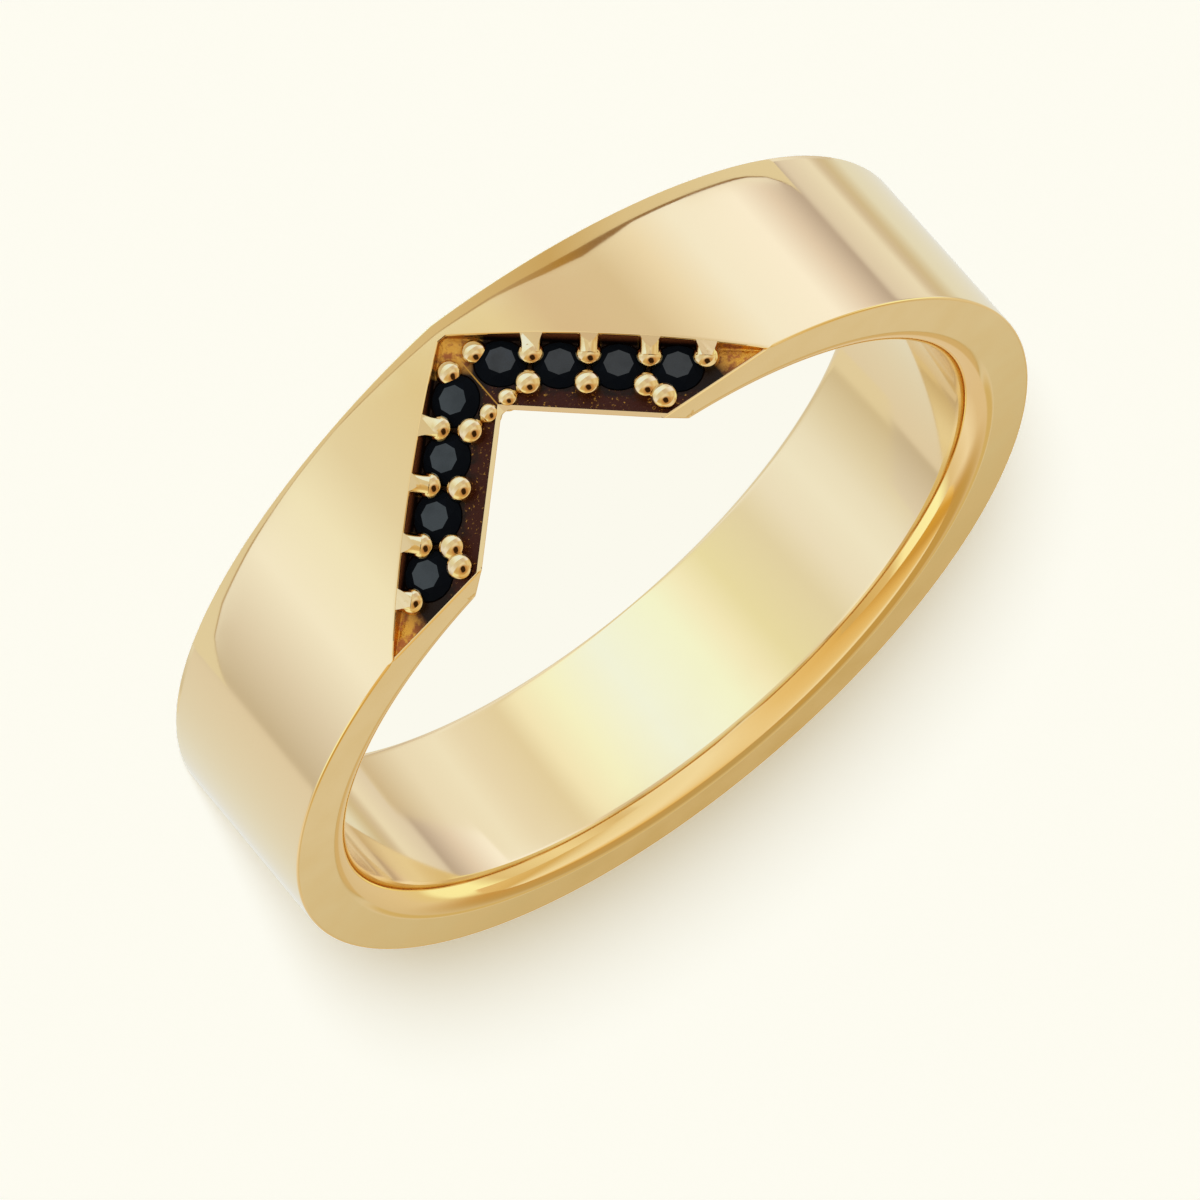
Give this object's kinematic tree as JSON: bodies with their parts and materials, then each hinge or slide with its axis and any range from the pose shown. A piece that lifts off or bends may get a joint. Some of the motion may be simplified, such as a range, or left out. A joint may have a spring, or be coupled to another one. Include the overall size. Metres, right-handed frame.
{
  "type": "chevron ring",
  "caption": "flat gold finger ring with a V notch in one rim, edged by a sunk chevron of small black stones held by beads",
  "frame": {"origin": "on the axis of the finger hole, at the height of the lowest point of the plain rim", "axes": "+Z along the finger hole from the plain rim to the notched rim, -Y the way the chevron faces, X across the chevron"},
  "size_m": [0.0204, 0.0205, 0.0048],
  "materials": {
    "gold": "mirror-polished yellow gold, cast and dark in the recess of the chevron",
    "black_stone": "opaque black faceted stone, polished"
  },
  "bodies": {
    "root": {"band": "gold", "stone_right_1": "black_stone", "stone_right_2": "black_stone", "stone_right_3": "black_stone", "stone_right_4": "black_stone", "stone_left_1": "black_stone", "stone_left_2": "black_stone", "stone_left_3": "black_stone", "stone_left_4": "black_stone"}
  },
  "joints": []
}
